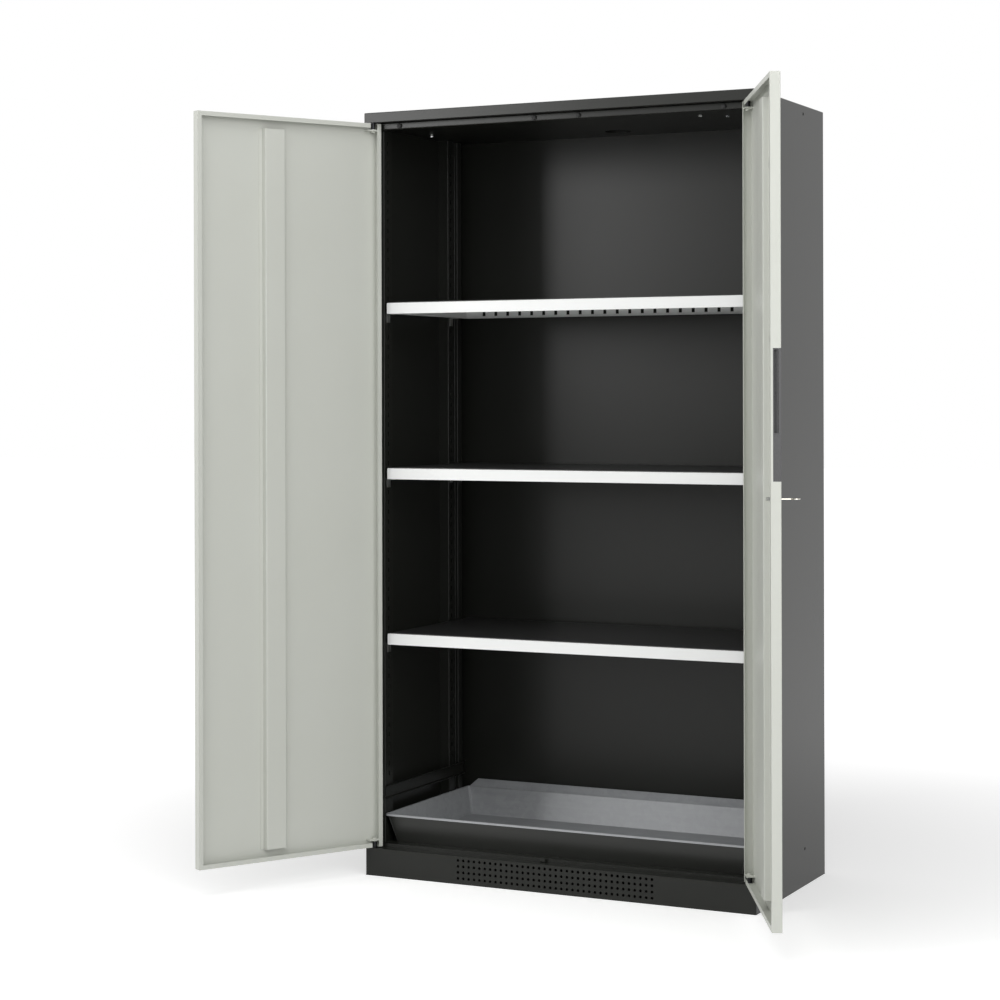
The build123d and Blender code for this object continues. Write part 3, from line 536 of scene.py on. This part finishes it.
# %% Blade of the key
BLADE_IN, BLADE_OUT, BLADE_WIDTH = -5.7, -40, 8
CUT_DEPTHS = {3: 1.1, 5: 1.9, 7: 0.7, 9: 1.6, 11: 1.2}
RUNGS, NEAR = 27, 0.01

blade = bmesh.ops.create_cube(
    mesh,
    size=1,
    matrix=Matrix.Translation((0, (BLADE_IN + BLADE_OUT) / 2, 0))
    @ Matrix.Diagonal((BLADE_WIDTH, BLADE_IN - BLADE_OUT, KEY_SHEET, 1)),
)["verts"]
long_edges = {
    edge
    for vert in blade
    for edge in vert.link_edges
    if abs((edge.verts[0].co - edge.verts[1].co).y) > BLADE_WIDTH
}
bmesh.ops.subdivide_edges(mesh, edges=list(long_edges), cuts=RUNGS - 1, use_grid_fill=True)
rung = (BLADE_IN - BLADE_OUT) / RUNGS
for vert in mesh.verts:
    step = round((BLADE_IN - vert.co.y) / rung)
    on_side = abs(vert.co.x - BLADE_WIDTH / 2) < NEAR
    on_face = abs(abs(vert.co.z) - KEY_SHEET / 2) < NEAR
    if on_side and on_face and step in CUT_DEPTHS:
        vert.co.x -= CUT_DEPTHS[step]
key_place = right_door @ Matrix.Translation((LOCK_ALONG, 0, LOCK_HEIGHT))
make_piece("door_key", mesh, key_place, "lock_core", "nickel_plate", instead_of="key")

# %% [markdown]
# ## Collar of the lock
# The lock sits in a round hole of the door. Its collar is turned: a rounded shoulder, a flat face
# and a shallow ring round the plug. A turned part is a profile that is spun about its axis.

# %% Lock collar
COLLAR_PROFILE = (
    (6.05, 4.2), (9.4, 4.2), (9.4, 11), (12.5, 11), (12.5, 12.4), (12.3, 13.1), (11.8, 13.6),
    (11.0, 13.9), (8.6, 14), (8.2, 13.6), (7.4, 13.6), (7.0, 14), (6.2, 14), (6.05, 13.8),
)
mesh = bmesh.new()
spun(mesh, COLLAR_PROFILE, steps=72)
collar_place = right_door @ outward(LOCK_ALONG, 0, LOCK_HEIGHT)
make_piece(
    "lock_collar", mesh, collar_place, "right_door", "nickel_plate",
    crease=50, instead_of="lock_housing",
)

# %% [markdown]
# ## Screws
# The ceiling is held by flanged hexagon screws, the outlet on the roof by pan heads with a cross
# recess. A hexagon head is a six sided cone with its rim bevelled. The pan head is spun, and planes
# cut its top so that the faces of a cross can be pushed in.

# %% Hexagon head screws
CEILING = 1918
CEILING_SCREWS = ((-482, 24), (482, 24), (319, -70), (376, -29))
HEX_RADIUS, HEX_HEIGHT, HEX_MIDDLE, HEX_BEVEL = 5.4, 2.9, 2.55, 0.5
FLANGE_PROFILE = ((0, 0), (6.9, 0), (6.9, 0.5), (6.2, 1.1), (0, 1.1))

screw = bmesh.new()
bmesh.ops.create_cone(
    screw,
    cap_ends=True,
    segments=6,
    radius1=HEX_RADIUS,
    radius2=HEX_RADIUS,
    depth=HEX_HEIGHT,
    matrix=Matrix.Translation((0, 0, HEX_MIDDLE)),
)
head_rim = [edge for edge in screw.edges if all(vert.co.z > HEX_MIDDLE for vert in edge.verts)]
bmesh.ops.bevel(
    screw,
    geom=head_rim,
    offset=HEX_BEVEL,
    segments=2,
    profile=0.5,
    affect="EDGES",
    material=-1,
)
spun(screw, FLANGE_PROFILE, steps=30)
mesh = bmesh.new()
face_down = Matrix.Rotation(pi, 4, "X")
set_out(mesh, screw, [Matrix.Translation((x, y, CEILING)) @ face_down for x, y in CEILING_SCREWS])
make_piece(
    "ceiling_hexagon_screws", mesh, cabinet_space, "carcass", "zinc_plate",
    instead_of="ceiling_screws",
)

# %% Pan head screws
FLANGE_TOP, SPIGOT_Y, SCREW_CIRCLE = 1952, 160, 47
PAN_RADIUS, PAN_HEIGHT = 3.5, 2.2
PAN_PROFILE = (
    (0, 0), (PAN_RADIUS, 0), (PAN_RADIUS, 1.0), (3.25, 1.6), (2.65, 2.05),
    (2.1, PAN_HEIGHT), (0, PAN_HEIGHT),
)
CROSS_ARM, CROSS_HALF = 1.8, 0.42
CROSS_TAPER, CROSS_DEPTH = 0.2, 0.9
TOP_BAND, FIRST_TURN = 0.05, 0.3

screw = bmesh.new()
spun(screw, PAN_PROFILE, steps=32)
for axis in ((1, 0, 0), (0, 1, 0)):
    for offset in (-CROSS_ARM, -CROSS_HALF, CROSS_HALF, CROSS_ARM):
        geom = screw.verts[:] + screw.edges[:] + screw.faces[:]
        bmesh.ops.bisect_plane(screw, geom=geom, plane_co=Vector(axis) * offset, plane_no=axis)
cross = []
for face in screw.faces:
    middle = face.calc_center_median()
    near, far = sorted((abs(middle.x), abs(middle.y)))
    if middle.z > PAN_HEIGHT - TOP_BAND and near < CROSS_HALF and far < CROSS_ARM:
        cross.append(face)
bmesh.ops.inset_region(screw, faces=cross, thickness=CROSS_TAPER, depth=-CROSS_DEPTH)
mesh = bmesh.new()
places = []
for quarter in range(4):
    turn = quarter * pi / 2
    seat = (SCREW_CIRCLE * cos(turn), SPIGOT_Y + SCREW_CIRCLE * sin(turn), FLANGE_TOP)
    places.append(Matrix.Translation(seat) @ Matrix.Rotation(FIRST_TURN + turn, 4, "Z"))
set_out(mesh, screw, places)
make_piece(
    "outlet_pan_screws", mesh, cabinet_space, "carcass", "zinc_plate", instead_of="spigot_screws"
)

# %% [markdown]
# ## Rubber buffers
# Four buffers on the rail under the cap take the doors softly. Each is a stud with a rounded crown
# and a groove above its foot, spun like the collar.

# %% Buffers
BUFFER_COLUMNS = (-440, -60, 60, 440)
RAIL_FRONT, BUFFER_HEIGHT = -229.99, 1916
BUFFER_PROFILE = (
    (0, 0), (6, 0), (6, 1.2), (5.3, 1.5), (5.3, 2.2), (5.8, 2.6), (5.8, 4.1), (5.2, 5.1),
    (3.9, 5.6), (2, 5.7), (0, 5.7),
)
mesh, stud = bmesh.new(), bmesh.new()
spun(stud, BUFFER_PROFILE, steps=28)
set_out(mesh, stud, [outward(x, RAIL_FRONT, BUFFER_HEIGHT) for x in BUFFER_COLUMNS])
make_piece(
    "rubber_buffers", mesh, cabinet_space, "carcass", "black_rubber", instead_of="door_buffers"
)

# %% [markdown]
# ## Weld seams in the sump
# A sump is commonly folded from one sheet, with its four corners welded tight so that it holds a
# spill. A hand laid bead is a row of overlapping scales. Small spheres, flattened and set one after
# the other up the corner, give that row without any sculpting.

# %% Weld beads
SUMP_MIDDLE_Y, SUMP_FLOOR, SUMP_RIM = 16.0, 81, 149
LOW_CORNER, HIGH_CORNER = (469.5, 210.5), (487.0, 228.0)
BEAD_COUNT, BEAD_SIZE = 22, (2.6, 2.6, 2.1)


def sump_corner(side_x, side_y, corner, height):
    """A point in one of the four corners of the sump."""
    return Vector((side_x * corner[0], SUMP_MIDDLE_Y + side_y * corner[1], height))


mesh = bmesh.new()
for side_x in (-1, 1):
    for side_y in (-1, 1):
        bottom = sump_corner(side_x, side_y, LOW_CORNER, SUMP_FLOOR)
        top = sump_corner(side_x, side_y, HIGH_CORNER, SUMP_RIM)
        for step in range(BEAD_COUNT):
            bead_at = bottom.lerp(top, step / (BEAD_COUNT - 1))
            bmesh.ops.create_icosphere(
                mesh,
                subdivisions=2,
                radius=1,
                matrix=Matrix.Translation(bead_at) @ Matrix.Diagonal((*BEAD_SIZE, 1)),
            )
make_piece("sump_weld_beads", mesh, cabinet_space, "carcass", "galvanised_steel")

# %% [markdown]
# ## Floor, light and camera
# The cabinet stands in a white studio. The floor and the sky are white to the camera and to
# reflections, while the light that reaches the cabinet stays at a plain level, so that a paint
# renders about as its code says. The patch of floor under the cabinet does not glow, and its
# colour is a dark grey that is painted shade, for the shade that lies under the cabinet. A large
# soft lamp on the right is the key, as the bright left door shows. A smaller one on the left puts
# the sheen on the cap and lights the right door, and a broad one above fills the front.


# %% White world
def seen_directly(tree):
    """One for rays that the camera, a mirror or glass sends out, and zero for light."""
    path = add(tree, "ShaderNodeLightPath")
    shine = add(
        tree,
        "ShaderNodeMath",
        {0: path.outputs["Is Camera Ray"], 1: path.outputs["Is Glossy Ray"]},
        operation="MAXIMUM",
    )
    return add(
        tree,
        "ShaderNodeMath",
        {0: shine.outputs[0], 1: path.outputs["Is Transmission Ray"]},
        operation="MAXIMUM",
    ).outputs[0]


SKY_LIGHT = 0.34
scene = bpy.context.scene
scene.world = bpy.data.worlds.new("white_studio")
scene.world.use_nodes = True
sky = scene.world.node_tree
level = add(
    sky, "ShaderNodeMapRange", {"Value": seen_directly(sky), "To Min": SKY_LIGHT, "To Max": 1.0}
)
sky.links.new(level.outputs["Result"], sky.nodes["Background"].inputs["Strength"])
sky.nodes["Background"].inputs["Color"].default_value = tint("#ffffff")
print("sky gives light at", SKY_LIGHT)

# %% White floor
FLOOR_HALF = 30
HALF_WIDTH, HALF_DEPTH = 0.5275, 0.26
GLOW_NEAR, GLOW_FAR = 0.42, 0.8
GLOW_START, GLOW_END = 0.7, 3.2
# The second paper lies under the cabinet: dark grey without glow, painted shade for the shade there.
PAPERS = (("white_floor", "#e9e9e9", GLOW_NEAR, GLOW_FAR), ("painted_shade_floor", "#262626", 0, 0))

mesh = bmesh.new()
bmesh.ops.create_grid(mesh, x_segments=1, y_segments=1, size=FLOOR_HALF)
for cut, normal in ((HALF_WIDTH, (1, 0, 0)), (HALF_DEPTH, (0, 1, 0))):
    for sign in (-1, 1):
        geom = mesh.verts[:] + mesh.edges[:] + mesh.faces[:]
        edge_at = sign * cut * Vector(normal)
        bmesh.ops.bisect_plane(mesh, geom=geom, plane_co=edge_at, plane_no=normal)
# Faces under the cabinet take the second paper, the painted shade.
for face in mesh.faces:
    middle = face.calc_center_median()
    face.material_index = int(abs(middle.x) < HALF_WIDTH and abs(middle.y) < HALF_DEPTH)
data = bpy.data.meshes.new("studio_floor")
mesh.to_mesh(data)
mesh.free()
floor = bpy.data.objects.new("studio_floor", data)
scene.collection.objects.link(floor)
for name, code, near, far in PAPERS:
    paper = bpy.data.materials.new(name)
    paper.use_nodes = True
    tree = paper.node_tree
    cover = tree.nodes["Principled BSDF"]
    cover.inputs["Base Color"].default_value = tint(code)
    cover.inputs["Roughness"].default_value = 1.0
    cover.inputs["Specular IOR Level"].default_value = 0.0
    cover.inputs["Emission Color"].default_value = tint("#ffffff")
    place = add(tree, "ShaderNodeTexCoord").outputs["Object"]
    distance = add(tree, "ShaderNodeVectorMath", {0: place}, operation="LENGTH").outputs["Value"]
    glow = add(
        tree,
        "ShaderNodeMapRange",
        {
            "Value": distance,
            "From Min": GLOW_START,
            "From Max": GLOW_END,
            "To Min": near,
            "To Max": far,
        },
        interpolation_type="SMOOTHSTEP",
    )
    lit = add(
        tree,
        "ShaderNodeMath",
        {0: seen_directly(tree), 1: glow.outputs["Result"]},
        operation="MULTIPLY",
    )
    tree.links.new(lit.outputs[0], cover.inputs["Emission Strength"])
    data.materials.append(paper)
print("floor has", len(data.polygons), "faces")

# %% Lamps
scene.view_settings.view_transform = "Standard"


def soft_lamp(name, spot, aim, size, watts):
    """A square area lamp that points at a place."""
    light = bpy.data.lights.new(name, "AREA")
    light.size = size
    light.energy = watts
    lamp = bpy.data.objects.new(name, light)
    lamp.location = spot
    lamp.rotation_euler = (Vector(aim) - Vector(spot)).to_track_quat("-Z", "Y").to_euler()
    scene.collection.objects.link(lamp)


soft_lamp("key_right", spot=(4.2, -3.8, 2.6), aim=(-0.4, -0.3, 1.0), size=4.4, watts=146)
soft_lamp("fill_left", spot=(-3.6, -5.1, 2.4), aim=(0.3, -0.3, 1.0), size=1.9, watts=124)
soft_lamp("fill_above", spot=(0.2, -3.4, 4.6), aim=(0, 0, 0.9), size=3.0, watts=72)

# %% [markdown]
# ## Camera
# The verticals of the cabinet stay upright in the picture, so the camera looks level and its view
# is shifted down instead of tilted. A longish lens from about six metres keeps the doors from
# looking stretched.

# %% Camera
CAMERA_SPOT = (2.35585, -5.35564, 1.23272)
CAMERA_YAW, CAMERA_ROLL = 26.111, -0.137
LENS_MM, SENSOR_MM, SHIFT_DOWN = 82.17, 36, 0.107

lens = bpy.data.cameras.new("camera")
lens.lens = LENS_MM
lens.sensor_width = SENSOR_MM
lens.shift_y = -SHIFT_DOWN
camera = bpy.data.objects.new("camera", lens)
camera.matrix_world = (
    Matrix.Translation(CAMERA_SPOT)
    @ Matrix.Rotation(radians(CAMERA_YAW), 4, "Z")
    @ Matrix.Rotation(pi / 2, 4, "X")
    @ Matrix.Rotation(radians(CAMERA_ROLL), 4, "Z")
)
scene.collection.objects.link(camera)
scene.camera = camera
print("camera", round(Vector(CAMERA_SPOT).length, 2), "m from the middle of the footprint")
